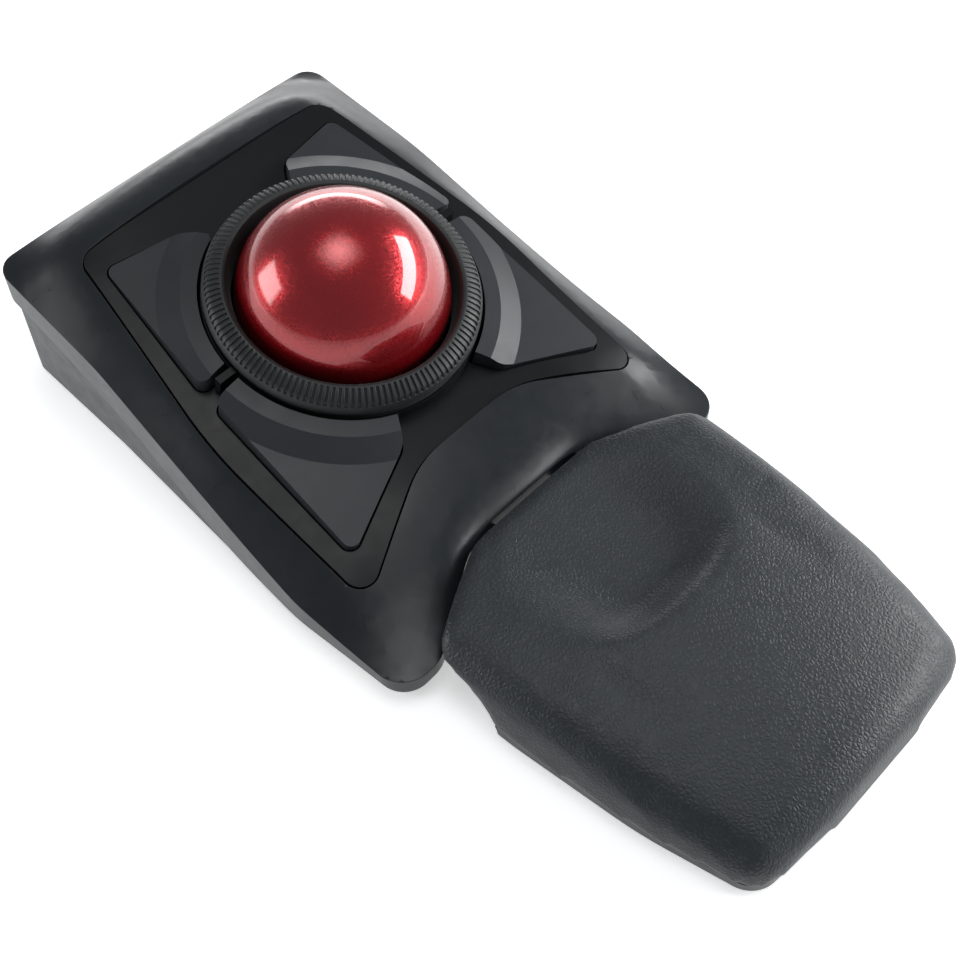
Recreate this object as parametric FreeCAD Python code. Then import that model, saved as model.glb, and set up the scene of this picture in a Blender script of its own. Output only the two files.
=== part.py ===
"""Desktop trackball with a scroll ring, four buttons and a detachable padded wrist rest.

Millimetres. X is the user's right, Y runs away from the user and Z is up. Everything is laid
out from the point on the table under the ball's centre, and export() moves it forward or back
so that the origin ends up under the middle of the whole object. The ball, the ring, the button
deck and the buttons are laid out in the deck's own tilted frame and are turned by on_deck().
"""
import FreeCAD
import Part
import math
import os

V = FreeCAD.Vector

# ---------------------------------------------------------------- driving dimensions
BALL_D = 55.0            # a standard large trackball
BALL_LIFT = 10.0         # the ball's underside over the table
DECK_TILT = 13.4         # degrees, the far side is higher

BALL_GAP = 0.8           # between the ball and its cup
CUP_WALL = 2.0
CUP_RIM = -3.0           # height of the cup's rim in the deck frame
CUP_FLANGE = 2.2         # how far the ring's seat stands out of the cup
CUP_FLANGE_T = 1.6
PEDESTAL_R = 14.0
BEARING_D = 2.5
BEARING_PLAY = 0.15
BEARING_DIP = 52.0       # degrees below the deck plane
SENSOR_DIP = 50.0        # degrees below the table plane, towards the user
LENS_R = 4.0
LENS_FLANGE_R = 6.0
LENS_FLANGE_T = 0.9
LENS_FIT = 0.05

RING_FIT = 0.08          # the ring's bore on the cup
RING_BAND = 4.3          # thickness of the ring at its foot
RING_TOP = 7.0           # crest of the knurled band over the deck plane
RING_BRIM = 0.7          # the foot of the band stands out over the collar
RING_LIP = 1.0           # retaining flange under the collar
RING_LIP_T = 1.7
RING_LIFT = 0.3          # over the cup's seat
ENCODER_TEETH = 48
ENCODER_WALL = 1.0
ENCODER_H = 3.0

COLLAR_GAP = 0.4         # ring to collar
COLLAR_T = 0.5
BUTTON_SWING = 0.8       # collar to button, whose upper part swings inwards when pressed
COLLAR_TOP = -0.8
BUTTON_GAP = 0.5         # round every button
BUTTON_WIDTH = 8.6       # button circle to the button's outer edge, abreast of the ball
STRIP = 4.8              # button's outer edge to the deck's edge, abreast of the ball
BEZEL = 8.7              # deck's edge to the case's side, abreast of the ball
BUTTON_BACK = 9.0        # button circle to the far edge of the far buttons, along the deck
BUTTON_TIP = 15.8        # button circle to the near tips of the near buttons, along the deck
BUTTON_CORNER = 2.4
BUTTON_WALL = 1.6
BUTTON_SKIRT = 11.0      # depth of a button under the deck plane
BUTTON_FACET = 4.2       # width of the flat land beside the ring
BUTTON_DISH = 3.2        # fall of a button from that land to its outer edge
BUTTON_TRAVEL = 2.5      # degrees, also stated in the record
STEM_R = 1.5
STEM_PLAY = 0.6
STEM_IN = 2.0            # the stems stand this far inside the button circle
HINGE_OUT = 2.4          # hinge line outside the button's outer edge
HINGE_DROP = 13.2        # hinge line under the deck plane
HINGE_PIN_R = 1.0
HINGE_FIT = 0.06
LUG_T = 2.4
LUG_R = 1.9

DECK_RECESS = 4.0        # deck surface under the deck plane
DECK_T = 2.0
DECK_GAP = 0.4           # deck to case
DECK_REAR = 14.0         # button circle to the deck's far edge
DECK_FRONT = 7.0         # button circle to the top of the deck's near arch

CASE_WALL = 2.4
ARCH_LIP = 2.6           # rounded fall of the case towards the wrist rest
ARCH_LIP_IN = 8.0
REAR_BEZEL = 21.7
SADDLE = 20.2            # deck arch to case arch, the land before the wrist rest
HORN = 16.0              # reach of the two horns past the case's arch
BASE_INSET = 1.2
BASE_WALL = 2.2
FLOOR_T = 2.2
FOOT_H = 1.5
FOOT_SINK = 0.6
POST_R = 2.0
PILLAR_R = 2.2           # short pillars under the boards

CELL_D = 14.5            # AA cell
CELL_L = 50.5
CELL_PLAY = 0.5
CONTACT_ROOM = 2.6       # at each end of a cell
CONTACT_T = 0.4
BAY_WALL = 1.5
RECEIVER = (18.0, 15.0, 6.5)
DOOR_T = 1.8
DOOR_GAP = 0.25

BOARD_T = 1.6
BOARD_LIFT = 4.3         # over the floor
SWITCH = (12.8, 5.8, 6.5)
SWITCH_TOP = -8.0        # in the deck frame, inside the button's hollow

REST_LENGTH = 107.2      # wrist rest, from the case's arch to the near edge
REST_GAP = 0.8           # round the case, which the pad's far corners hang over
REST_REAR_W = 103.4
REST_FRONT_W = 81.4
REST_DRAFT = 5.0
REST_SHOULDER = 3.0      # fall of the pad's top over its last few millimetres
REST_SHOULDER_IN = 6.5
REST_RELIEF = (20.0, 13.0)   # length and height of the hollows under the pad's far corners
REST_RELIEF_X = 30.0
REST_HEIGHT = 23.5
REST_HOLLOW = 9.5
REST_BASE_T = 2.8
REST_STEP = 6.0          # height of the step under its far part
TONGUE = (8.0, 7.2, 2.8)
TONGUE_X = 15.0
TONGUE_PLAY = 0.5

SCREW_R = 1.1
SCREW_HEAD_R = 2.2

# ---------------------------------------------------------------- derived
BALL_R = BALL_D / 2
BALL_Z = BALL_R + BALL_LIFT
CUP_IN = BALL_R + BALL_GAP
CUP_R = CUP_IN + CUP_WALL
RING_BORE = CUP_R + RING_FIT
RING_R = RING_BORE + RING_BAND
COLLAR_R = RING_R + COLLAR_GAP
BUTTON_R = COLLAR_R + COLLAR_T + BUTTON_SWING
LIP_R = RING_R + RING_LIP
CUP_SEAT = CUP_RIM - 6.0
RING_FOOT = CUP_SEAT + RING_LIFT
BUTTON_X = BUTTON_R + BUTTON_WIDTH
DECK_X = BUTTON_X + STRIP
CASE_X = DECK_X + BEZEL
DECK_BACK_Y = BUTTON_R + DECK_REAR
DECK_ARCH_Y = -BUTTON_R - DECK_FRONT
CASE_BACK_Y = DECK_BACK_Y + REAR_BEZEL
CASE_ARCH_Y = DECK_ARCH_Y - SADDLE
HORN_Y = CASE_ARCH_Y - HORN
REST_BACK_Y = CASE_ARCH_Y - REST_GAP
REST_FRONT_Y = REST_BACK_Y - REST_LENGTH
SHIFT_Y = -(CASE_BACK_Y + REST_FRONT_Y) / 2
FLOOR_Z = FOOT_H + FLOOR_T
ARCH_X = CASE_X * 0.342
REST_EAR = HORN - 0.5
SIDE_POST_X = DECK_X - DECK_GAP - POST_R - 0.4
RISE = math.tan(math.radians(DECK_TILT))
SIN = math.sin(math.radians(DECK_TILT))
COS = math.cos(math.radians(DECK_TILT))


# ---------------------------------------------------------------- helpers
def export(name, *shapes):
    """Writes one node, moved into the row's frame."""
    solids = [solid for shape in shapes for solid in shape.Solids]
    whole = solids[0] if len(solids) == 1 else Part.makeCompound(solids)
    whole = whole.copy()
    whole.translate(V(0, SHIFT_Y, 0))
    whole.exportStep("parts/" + name + ".step")
    box = whole.BoundBox
    print("%-20s %2d solid  %7.2f cm3  z %6.2f to %6.2f  valid %s" % (
        name, len(solids), whole.Volume / 1000, box.ZMin, box.ZMax, whole.isValid()))


def on_deck(shape):
    """Turns a shape from the deck's frame (origin at the ball's centre) into the world."""
    placed = shape.copy()
    placed.rotate(V(0, 0, 0), V(1, 0, 0), DECK_TILT)
    placed.translate(V(0, 0, BALL_Z))
    return placed


def mirrored(shape):
    return shape.mirror(V(0, 0, 0), V(1, 0, 0))


def box(x0, x1, y0, y1, z0, z1):
    return Part.makeBox(x1 - x0, y1 - y0, z1 - z0, V(x0, y0, z0))


def rod(radius, x, y, z0, z1):
    return Part.makeCylinder(radius, z1 - z0, V(x, y, z0))


def along(stations, t):
    """Smooth value at t through (t, value) stations given in rising order of t."""
    if t <= stations[0][0]:
        (a, p), (b, q) = stations[0], stations[1]
        return p + (q - p) * (t - a) / (b - a)
    for i in range(len(stations) - 1):
        (a, p), (b, q) = stations[i], stations[i + 1]
        if t <= b:
            before = stations[i - 1] if i else (2 * a - b, 2 * p - q)
            after = stations[i + 2] if i + 2 < len(stations) else (2 * b - a, 2 * q - p)
            left = (q - before[1]) / (b - before[0]) * (b - a)
            right = (after[1] - p) / (after[0] - a) * (b - a)
            s = (t - a) / (b - a)
            return ((2 * s ** 3 - 3 * s ** 2 + 1) * p + (s ** 3 - 2 * s ** 2 + s) * left
                    + (3 * s ** 2 - 2 * s ** 3) * q + (s ** 3 - s ** 2) * right)
    (a, p), (b, q) = stations[-2], stations[-1]
    return q + (q - p) * (t - b) / (b - a)


def rounded(corners):
    """Closed wire through (x, y, corner radius) corners, with tangent arcs; z is 0."""
    count = len(corners)
    starts, mids, ends = [], [], []
    for i in range(count):
        here = V(corners[i][0], corners[i][1], 0)
        back = V(*corners[i - 1][:2], 0) - here
        ahead = V(*corners[(i + 1) % count][:2], 0) - here
        half_angle = back.getAngle(ahead) / 2
        reach = corners[i][2] / math.tan(half_angle) if corners[i][2] else 0
        back.normalize()
        ahead.normalize()
        starts.append(here + back * reach)
        ends.append(here + ahead * reach)
        if corners[i][2]:
            inward = back + ahead
            inward.normalize()
            mids.append(here + inward * (corners[i][2] / math.sin(half_angle) - corners[i][2]))
        else:
            mids.append(None)
    edges = []
    for i in range(count):
        if mids[i]:
            edges.append(Part.Arc(starts[i], mids[i], ends[i]).toShape())
        following = starts[(i + 1) % count]
        if (following - ends[i]).Length > 1e-4:
            edges.append(Part.LineSegment(ends[i], following).toShape())
    return Part.Wire(edges)


def both_sides(half):
    """Closed corner list from the right-hand corners, given from the far end to the near end."""
    return half + [(-x, y, r) for x, y, r in reversed(half)]


def prism(wire, z0, z1):
    face = Part.Face(wire)
    face.translate(V(0, 0, z0))
    return face.extrude(V(0, 0, z1 - z0))


def inset(wire, distance):
    return wire.makeOffset2D(-distance)


def below(height, drop, x_reach, y0, y1, step, depth=80.0):
    """Everything under the surface z = height(x, y) - drop, as a solid."""
    columns = int(2 * x_reach / step)
    rows = int((y1 - y0) / step)
    grid = []
    for i in range(columns + 1):
        x = -x_reach + 2 * x_reach * i / columns
        grid.append([])
        for j in range(rows + 1):
            y = y0 + (y1 - y0) * j / rows
            grid[-1].append(V(x, y, height(x, y) - drop))
    surface = Part.BSplineSurface()
    surface.interpolate(grid)
    return surface.toShape().extrude(V(0, 0, -depth))


def softened(t, softness):
    """A ramp that is 0 left of t = 0 and t right of it, with a soft knee."""
    return softness * math.log(1 + math.exp(t / softness))


def profile_prism(points, half_width):
    """Extrudes a closed (y, z) polygon along X, centred."""
    corners = [V(-half_width, y, z) for y, z in points]
    return Part.Face(Part.makePolygon(corners + corners[:1])).extrude(V(2 * half_width, 0, 0))


# ---------------------------------------------------------------- outlines seen from above
def case_outline():
    return rounded(both_sides([
        (CASE_X - 3.5, CASE_BACK_Y, 6.0),
        (CASE_X - 2.2, CASE_BACK_Y * 0.416, 150.0),
        (CASE_X + 2.4, HORN_Y * 0.565, 70.0),
        (CASE_X + 0.6, HORN_Y - 0.4, 8.5),
        (CASE_X - 12.0, HORN_Y, 10.0),
        (ARCH_X, CASE_ARCH_Y, 30.0),
    ]))


def deck_opening():
    return rounded(both_sides([
        (DECK_X - 8.1, DECK_BACK_Y + 2.2, 5.0),
        (DECK_X + 1.6, -6.0, 120.0),
        (DECK_X + 0.7, DECK_ARCH_Y - 16.2, 5.0),
        (DECK_X * 0.34, DECK_ARCH_Y, 30.0),
    ]))


def rest_outline(lean=0.0):
    """Outline of the wrist rest; its sides and near edge draw in by lean, its far edge doesn't."""
    half_rear = REST_REAR_W / 2 - lean
    half_front = REST_FRONT_W / 2 - lean
    return rounded(both_sides([
        (ARCH_X, REST_BACK_Y, 30.0),
        (half_rear + 0.2, REST_BACK_Y - REST_EAR, 5.0),
        (half_rear - 0.6, REST_BACK_Y - 40.0, 90.0),
        (half_front + 6.9, REST_BACK_Y - 75.0, 120.0),
        (half_front + 0.4, REST_FRONT_Y + lean + 2.6, 10.0),
        (half_front * 0.4, REST_FRONT_Y + lean, 60.0),
    ]))


def rest_side_x(y):
    """Half width of the wrist rest at y."""
    half_front = REST_FRONT_W / 2
    return along([(REST_FRONT_Y, half_front - 0.4), (REST_BACK_Y - 75.0, half_front + 6.2),
                  (REST_BACK_Y - 40.0, REST_REAR_W / 2 - 1.0), (REST_BACK_Y - REST_EAR, REST_REAR_W / 2)], y)


# ---------------------------------------------------------------- surfaces
DRAWN_BALL_Z = 37.5      # height of the ball's centre that these stations are given for
RIM_Z = [(-80, 8.2), (-60, 9.6), (-43, 12.1), (-25, 15.9), (-3, 22.1), (12, 26.8), (30, 32.2),
         (47, 34.9), (61, 36.7), (72, 38.0)]
BEZEL_Z = [(-80, 9.0), (-64, 13.0), (-52, 17.2), (-38, 20.6), (-23, 24.4), (9, 33.8), (34, 40.9),
           (50, 44.8), (60, 44.6), (72, 38.6)]
CROWN_Z = [(-80, 10.5), (-64, 16.6), (-43, 24.2), (-20, 30.0), (20, 39.0), (50, 46.4), (56, 46.8),
           (62, 45.8), (67, 43.4), (72, 38.8)]
PARTING_Z = [(-90, 3.4), (-35, 3.8), (-20, 5.0), (-10, 7.2), (0, 10.8), (15, 16.5), (30, 20.5),
             (45, 24.6), (62, 28.2), (80, 30.5)]


def stretched(stations):
    """The stations follow the case when its ring or bezels change, and rise with a larger ball."""
    def place(y):
        if y >= 0:
            return y * CASE_BACK_Y / 72.0
        return y * HORN_Y / -79.5
    return [(place(y), z + BALL_Z - DRAWN_BALL_Z) for y, z in stations]


RIM_Z = stretched(RIM_Z)
BEZEL_Z = stretched(BEZEL_Z)
CROWN_Z = stretched(CROWN_Z)
PARTING_Z = stretched(PARTING_Z)


def deck_side_x(y):
    """Half width of the deck's opening at y, followed past both of its ends."""
    return along([(-60, DECK_X + 0.2), (-38, DECK_X + 0.7), (-10, DECK_X + 0.9), (9, DECK_X - 1.1),
                  (48, DECK_X - 7.4), (72, DECK_X - 10.0)], y)


def case_side_x(y):
    return along([(-80, CASE_X - 0.5), (-45, CASE_X + 1.9), (30, CASE_X - 2.4), (72, CASE_X - 4.0)], y)


def case_height(x, y):
    """Top of the case: a crowned middle, and flanks that slope down to the rim."""
    inner = deck_side_x(y)
    outer = case_side_x(y)
    edge = along(BEZEL_Z, y)
    crown = along(CROWN_Z, y)
    across = min(1.0, (x / inner) ** 2)
    flat = crown + (edge - crown) * across
    t = (abs(x) - inner) / (outer - inner)
    shaped = flat - (flat - along(RIM_Z, y)) * softened(t, 0.2) / softened(1.0, 0.2)
    slope = HORN / (CASE_X - 12.0 - ARCH_X)
    from_arch = y - CASE_ARCH_Y + slope * softened(abs(x) - ARCH_X, 3.0)
    near_arch = max(0.0, 1.0 - max(from_arch, -4.0) / ARCH_LIP_IN) / (1 + (x / (CASE_X * 0.68)) ** 8)
    return shaped - ARCH_LIP * near_arch ** 2


def deck_height(x, y):
    """Top of the deck: flat round the ring, and falling to the bezel at the sides."""
    middle = BALL_Z + RISE * y - DECK_RECESS / COS
    side = along(BEZEL_Z, y) - 0.5
    t = (abs(x) - BUTTON_R + 8.0) / (deck_side_x(y) - BUTTON_R + 8.0)
    fall = softened(t, 0.15) / softened(1.0, 0.15)
    return middle - (middle - side) * fall


def rest_height(x, y):
    """Top of the pad: crowned, with a hollow for the heel of the hand that opens to the case."""
    back = REST_BACK_Y - y
    half = REST_REAR_W / 2 - 0.11 * back
    ridge = along([(-20, REST_HEIGHT - 2.0), (15, REST_HEIGHT - 0.4), (45, REST_HEIGHT),
                   (80, REST_HEIGHT - 2.6), (100, REST_HEIGHT - 6.2), (115, REST_HEIGHT - 10.5)], back)
    crown = ridge - 4.6 * (x / half) ** 2
    width = along([(-20, 30.0), (10, 26.0), (30, 21.0), (44, 16.0), (60, 8.0)], back)
    across = 1 / (1 + (x / width) ** 4)
    lengthways = 1 / (1 + math.exp((back - 46.0) / 1.7))
    depth = REST_HOLLOW * along([(-20, 0.5), (0, 0.58), (20, 0.85), (36, 1.0), (60, 1.0)], back)
    return crown - depth * across * lengthways - shoulder(x, y)


def shoulder(x, y):
    """Fall of the pad's top near its sides, near edge and far edge."""
    from_side = rest_side_x(y) - REST_DRAFT * 0.7 - abs(x)
    from_near = y - REST_FRONT_Y - REST_DRAFT * 0.5 - 0.0025 * x * x
    from_far = REST_BACK_Y - 0.5 * softened(abs(x) - ARCH_X, 3.0) - y + 2.0
    parts = [max(0.0, 1.0 - max(d, -2.0) / REST_SHOULDER_IN) ** 2 for d in (from_side, from_near, from_far)]
    return REST_SHOULDER * sum(p ** 3 for p in parts) ** (1 / 3)


def case_top(drop):
    return below(case_height, drop, CASE_X + 9, HORN_Y - 12, CASE_BACK_Y + 9, 3.6)


def deck_top(drop):
    return below(deck_height, drop, CASE_X + 4, DECK_ARCH_Y - 30, DECK_BACK_Y + 14, 5.0)


def under_parting():
    curve = Part.BSplineCurve()
    curve.interpolate([V(-90, y, z) for y, z in PARTING_Z])
    sheet = curve.toShape().extrude(V(180, 0, 0))
    return sheet.extrude(V(0, 0, -60))


# ---------------------------------------------------------------- ball, cup and ring
def trackball():
    ball = Part.makeSphere(BALL_R)
    ball.rotate(V(0, 0, 0), V(0, 1, 0), 90)
    return on_deck(ball)


def towards_user(distance):
    """A point on the sensor's axis, at that distance from the ball's centre."""
    dip = math.radians(SENSOR_DIP)
    return V(0, -math.cos(dip), -math.sin(dip)) * distance + V(0, 0, BALL_Z)


def sensor_rod(radius, near, far):
    direction = towards_user(1) - V(0, 0, BALL_Z)
    return Part.makeCylinder(radius, far - near, towards_user(near), direction)


def sensor_block(width, height, near, far):
    """A block square to the sensor's axis."""
    block = Part.makeBox(width, height, far - near, V(-width / 2, -height / 2, near))
    block.rotate(V(0, 0, 0), V(1, 0, 0), 90 + SENSOR_DIP)
    block.translate(V(0, 0, BALL_Z))
    return block


def bearing_places():
    dip = math.radians(BEARING_DIP)
    reach = BALL_R + BEARING_PLAY + BEARING_D / 2
    places = []
    for turn in (30, 150, 270):
        a = math.radians(turn)
        places.append(V(math.cos(a) * math.cos(dip), math.sin(a) * math.cos(dip), -math.sin(dip)) * reach)
    return places


SENSOR_SEAT = CUP_R + 0.9


def ball_cup():
    bowl = Part.makeSphere(CUP_R).cut(box(-50, 50, -50, 50, CUP_RIM, 50))
    barrel = rod(CUP_R, 0, 0, CUP_SEAT - CUP_FLANGE_T, CUP_RIM)
    seat = rod(CUP_R + CUP_FLANGE, 0, 0, CUP_SEAT - CUP_FLANGE_T, CUP_SEAT)
    cup = on_deck(bowl.fuse([barrel, seat]))
    pedestal = rod(PEDESTAL_R, 0, 0, FLOOR_Z, BALL_Z - CUP_IN + 6)
    boss = sensor_rod(LENS_FLANGE_R + 1, CUP_IN - 1, SENSOR_SEAT)
    cup = cup.fuse([pedestal, boss])
    cup = cup.cut(on_deck(Part.makeSphere(CUP_IN)))
    cup = cup.cut(sensor_rod(LENS_R + LENS_FIT, CUP_IN - 6, SENSOR_SEAT + 1))
    pockets = [on_deck(Part.makeSphere(BEARING_D / 2 + 0.02, p)) for p in bearing_places()]
    for pocket in pockets:
        cup = cup.cut(pocket)
    return cup


def support_bearings():
    return [on_deck(Part.makeSphere(BEARING_D / 2, p)) for p in bearing_places()]


def revolved(points):
    corners = [V(r, 0, w) for r, w in points]
    face = Part.Face(Part.makePolygon(corners + corners[:1]))
    return face.revolve(V(0, 0, 0), V(0, 0, 1), 360)


def scroll_ring():
    """A band that slopes down outwards, a bore that slopes down to the ball, and a lip below."""
    mouth = BALL_R + 0.7
    brim = RING_R + RING_BRIM
    ring = revolved([
        (mouth, CUP_RIM + 0.4), (mouth, 2.0), (mouth + 1.1, RING_TOP - 1.0), (mouth + 1.7, RING_TOP - 0.1),
        (mouth + 2.7, RING_TOP), (RING_R - 0.5, RING_TOP - 1.8), (brim, RING_TOP - 4.4),
        (brim, RING_TOP - 5.3), (RING_R, RING_TOP - 6.3),
        (RING_R, CUP_SEAT + 2.0), (LIP_R, CUP_SEAT + 2.0), (LIP_R, RING_FOOT),
        (RING_BORE, RING_FOOT), (RING_BORE, CUP_RIM + 0.4)])
    return on_deck(ring)


def encoder_ring():
    """Slotted wall under the ring, read by the encoder's light gate."""
    outer = LIP_R - 0.3
    wall = rod(outer, 0, 0, RING_FOOT - ENCODER_H, RING_FOOT)
    wall = wall.cut(rod(outer - ENCODER_WALL, 0, 0, RING_FOOT - ENCODER_H, RING_FOOT))
    slots = []
    for i in range(ENCODER_TEETH):
        slot = box(outer - 3, outer + 2, -1, 1, RING_FOOT - ENCODER_H - 1, RING_FOOT - 0.8)
        slot.rotate(V(0, 0, 0), V(0, 0, 1), 360.0 * i / ENCODER_TEETH)
        slots.append(slot)
    return on_deck(wall.cut(Part.makeCompound(slots)))


def encoder_sensor():
    """A light gate: two uprights, one each side of the slotted wall, at the user's side."""
    middle = LIP_R - 0.3 - ENCODER_WALL / 2
    seat_r = CUP_R + CUP_FLANGE
    foot = RING_FOOT - ENCODER_H
    block = box(-4, 4, -middle - 3.4, -seat_r - 0.3, foot - 3.0, RING_FOOT - 1.0)
    slot = box(-5, 5, -middle - 1.2, -middle + 1.2, foot - 0.8, RING_FOOT)
    heel = box(-4, 4, -seat_r - 0.4, -CUP_R - 0.6, foot - 3.0, CUP_SEAT - CUP_FLANGE_T)
    return on_deck(block.cut(slot).fuse(heel))


# ---------------------------------------------------------------- sensor
def sensor_lens():
    return sensor_rod(LENS_R, CUP_IN + 0.3, SENSOR_SEAT + 0.4).fuse(
        sensor_rod(LENS_FLANGE_R, SENSOR_SEAT, SENSOR_SEAT + LENS_FLANGE_T))


def optical_sensor():
    return sensor_block(10, 9, SENSOR_SEAT + LENS_FLANGE_T, SENSOR_SEAT + LENS_FLANGE_T + 2.6)


def sensor_board():
    near = SENSOR_SEAT + LENS_FLANGE_T + 2.6
    return sensor_block(18, 12, near, near + 1.2)


# ---------------------------------------------------------------- buttons
def far_button_corners():
    """Corners of a far button in the deck frame: x, y along the deck, corner radius."""
    far = BUTTON_R + BUTTON_BACK
    return [(14.0, BUTTON_R - 1.5, 0), (18.6, far - 3.6, BUTTON_CORNER + 3), (BUTTON_X - 6.2, far, BUTTON_CORNER),
            (BUTTON_X - 1.2, 3.2, BUTTON_CORNER), (30.0, 4.3, 0)]


def near_button_corners():
    tip = -BUTTON_R - BUTTON_TIP
    return [(30.0, -1.0, 0), (BUTTON_X - 1.0, -1.8, BUTTON_CORNER), (BUTTON_X + 0.3, tip, BUTTON_CORNER),
            (17.4, -BUTTON_R - 3.6, BUTTON_CORNER + 3), (13.6, -BUTTON_R + 3.0, 0)]


def button_top(drop):
    """Everything over the land beside the ring and over the dish that falls away from it."""
    land = BUTTON_R + BUTTON_FACET
    outer = BUTTON_X + 1.5
    fall = revolved([(0, 0.9 - drop), (BUTTON_R, 0.9 - drop), (land, 0.3 - drop),
                     (outer, 0.3 - BUTTON_DISH - drop), (outer + 40, 0.3 - BUTTON_DISH - 4 - drop),
                     (outer + 40, 30), (0, 30)])
    return fall


def button_solid(corners, grow=0.0, skirt=BUTTON_SKIRT, top=6.0):
    """The prism on a button's outline, trimmed to the button circle."""
    wire = rounded(corners)
    if grow:
        wire = inset(wire, -grow)
    inner = BUTTON_R - BUTTON_SWING if grow else BUTTON_R
    return prism(wire, -skirt, top).cut(rod(inner, 0, 0, -skirt - 1, top + 1))


def hinge_line(corners, outer_corner, inner_corner):
    """Two points of the hinge's line, outside the outer edge and under the deck."""
    a = V(corners[outer_corner][0], corners[outer_corner][1], -HINGE_DROP)
    b = V(corners[inner_corner][0], corners[inner_corner][1], -HINGE_DROP)
    edge = b - a
    edge.normalize()
    outward = V(abs(edge.y), -edge.x if edge.y > 0 else edge.x, 0)
    return a + outward * HINGE_OUT, b + outward * HINGE_OUT


def far_hinge():
    return hinge_line(far_button_corners(), 3, 2)


def near_hinge():
    return hinge_line(near_button_corners(), 2, 1)


def hinge_places(line):
    """Centres of the two hinge pins of a button, well in from the ends of its edge."""
    start, end = line
    return [start + (end - start) * share for share in (0.18, 0.82)]


def stem_place(corners):
    """A button presses its switch between its middle and its outer edge."""
    ys = [c[1] for c in corners]
    return V(BUTTON_R - STEM_IN, sum(ys) / len(ys) * 1.12, 0)


def button(corners, line):
    shell = button_solid(corners)
    shell = shell.cut(button_top(0))
    hollow = prism(inset(rounded(corners), BUTTON_WALL), -BUTTON_SKIRT - 1, -BUTTON_WALL - BUTTON_DISH)
    hollow = hollow.cut(rod(BUTTON_R + BUTTON_WALL, 0, 0, -BUTTON_SKIRT - 2, 0))
    shell = shell.cut(hollow)
    stem = stem_place(corners)
    shell = shell.fuse(rod(STEM_R, stem.x, stem.y, SWITCH_TOP - 1.6, -BUTTON_WALL - BUTTON_DISH + 0.4))
    direction = line[1] - line[0]
    direction.normalize()
    arms = []
    for place in hinge_places(line):
        pin = Part.makeCylinder(HINGE_PIN_R, LUG_T + 3.2, place - direction * (LUG_T / 2 + 0.4), direction)
        shell = shell.fuse(pin)
        arm_at = place + direction * (LUG_T / 2 + 1.6)
        arm = Part.makeBox(HINGE_OUT + BUTTON_WALL + HINGE_PIN_R, 2.4, HINGE_DROP - BUTTON_SKIRT + 2.0)
        arm.translate(V(-HINGE_OUT - BUTTON_WALL, -1.2, -HINGE_PIN_R))
        arm.rotate(V(0, 0, 0), V(0, 0, 1), math.degrees(math.atan2(direction.y, direction.x)) - 90)
        arm.translate(arm_at)
        arms.append(on_deck(arm).common(deck_top(DECK_T + 0.6)))
    return on_deck(shell).fuse(arms)


def hinge_lugs(line):
    """Ears under the deck that hold a button's two hinge pins."""
    direction = line[1] - line[0]
    direction.normalize()
    ears = []
    for place in hinge_places(line):
        near = place - direction * (LUG_T / 2)
        eye = Part.makeCylinder(LUG_R, LUG_T, near, direction)
        web = Part.makeBox(2 * LUG_R, LUG_T, HINGE_DROP + 2, V(-LUG_R, 0, 0))
        web.rotate(V(0, 0, 0), V(0, 0, 1), math.degrees(math.atan2(direction.y, direction.x)) - 90)
        web.translate(near)
        bore = Part.makeCylinder(HINGE_PIN_R + HINGE_FIT, LUG_T + 4, near - direction * 2, direction)
        ears.append(eye.fuse(web).cut(bore))
    return ears


# ---------------------------------------------------------------- deck
def post_places():
    """Screw posts between the base and the deck."""
    return [(0, BUTTON_R + 9.0), (7.5, -BUTTON_R - 3.6), (-7.5, -BUTTON_R - 3.6),
            (SIDE_POST_X, 2.6), (-SIDE_POST_X, 2.6)]


def button_deck():
    outline = prism(inset(deck_opening(), DECK_GAP), 0, 70)
    plate = outline.common(deck_top(0)).cut(deck_top(DECK_T))
    collar = rod(COLLAR_R + COLLAR_T, 0, 0, -DECK_RECESS - DECK_T, COLLAR_TOP)
    tab_shape = box(BUTTON_R - 1.0, BUTTON_R + BUTTON_FACET, 0.2, 2.2, -DECK_RECESS - 0.5, 0.6)
    raised = [on_deck(collar), on_deck(tab_shape), on_deck(mirrored(tab_shape))]
    ears = []
    for line in (far_hinge(), near_hinge()):
        for ear in hinge_lugs(line):
            trimmed = on_deck(ear).common(deck_top(DECK_T - 0.3)).common(outline)
            ears += [trimmed, mirrored(trimmed)]
    deck = plate.fuse(raised + ears)
    deck = deck.cut(on_deck(rod(COLLAR_R, 0, 0, -40, 40)))
    cuts = []
    for corners in (far_button_corners(), near_button_corners()):
        hole = button_solid(corners, BUTTON_GAP, BUTTON_SKIRT + 2.0)
        cuts += [on_deck(hole), on_deck(mirrored(hole))]
    for cut in cuts:
        deck = deck.cut(cut)
    for x, y in post_places():
        deck = deck.cut(rod(SCREW_R + 0.05, x, y, 0, deck_height(x, y) - DECK_T / 2))
    return deck


# ---------------------------------------------------------------- switches
def switch_stations():
    """Middle of each switch, in the deck frame."""
    found = []
    for corners in (far_button_corners(), near_button_corners()):
        stem = stem_place(corners)
        found.append(stem)
    return found


def button_switches():
    length, width, height = SWITCH
    blocks = []
    for stem in switch_stations():
        block = box(stem.x - width / 2, stem.x + width / 2, stem.y - length / 2, stem.y + length / 2,
                    SWITCH_TOP - height, SWITCH_TOP)
        well = rod(STEM_R + STEM_PLAY, stem.x, stem.y, SWITCH_TOP - 3.8, SWITCH_TOP + 1)
        block = block.cut(well)
        blocks += [on_deck(block), on_deck(mirrored(block))]
    return blocks


def switch_board_box():
    stems = switch_stations()
    x = stems[0].x
    return (x - 5.0, x + 5.0, stems[1].y - 10.0, stems[0].y + 10.0)


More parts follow.
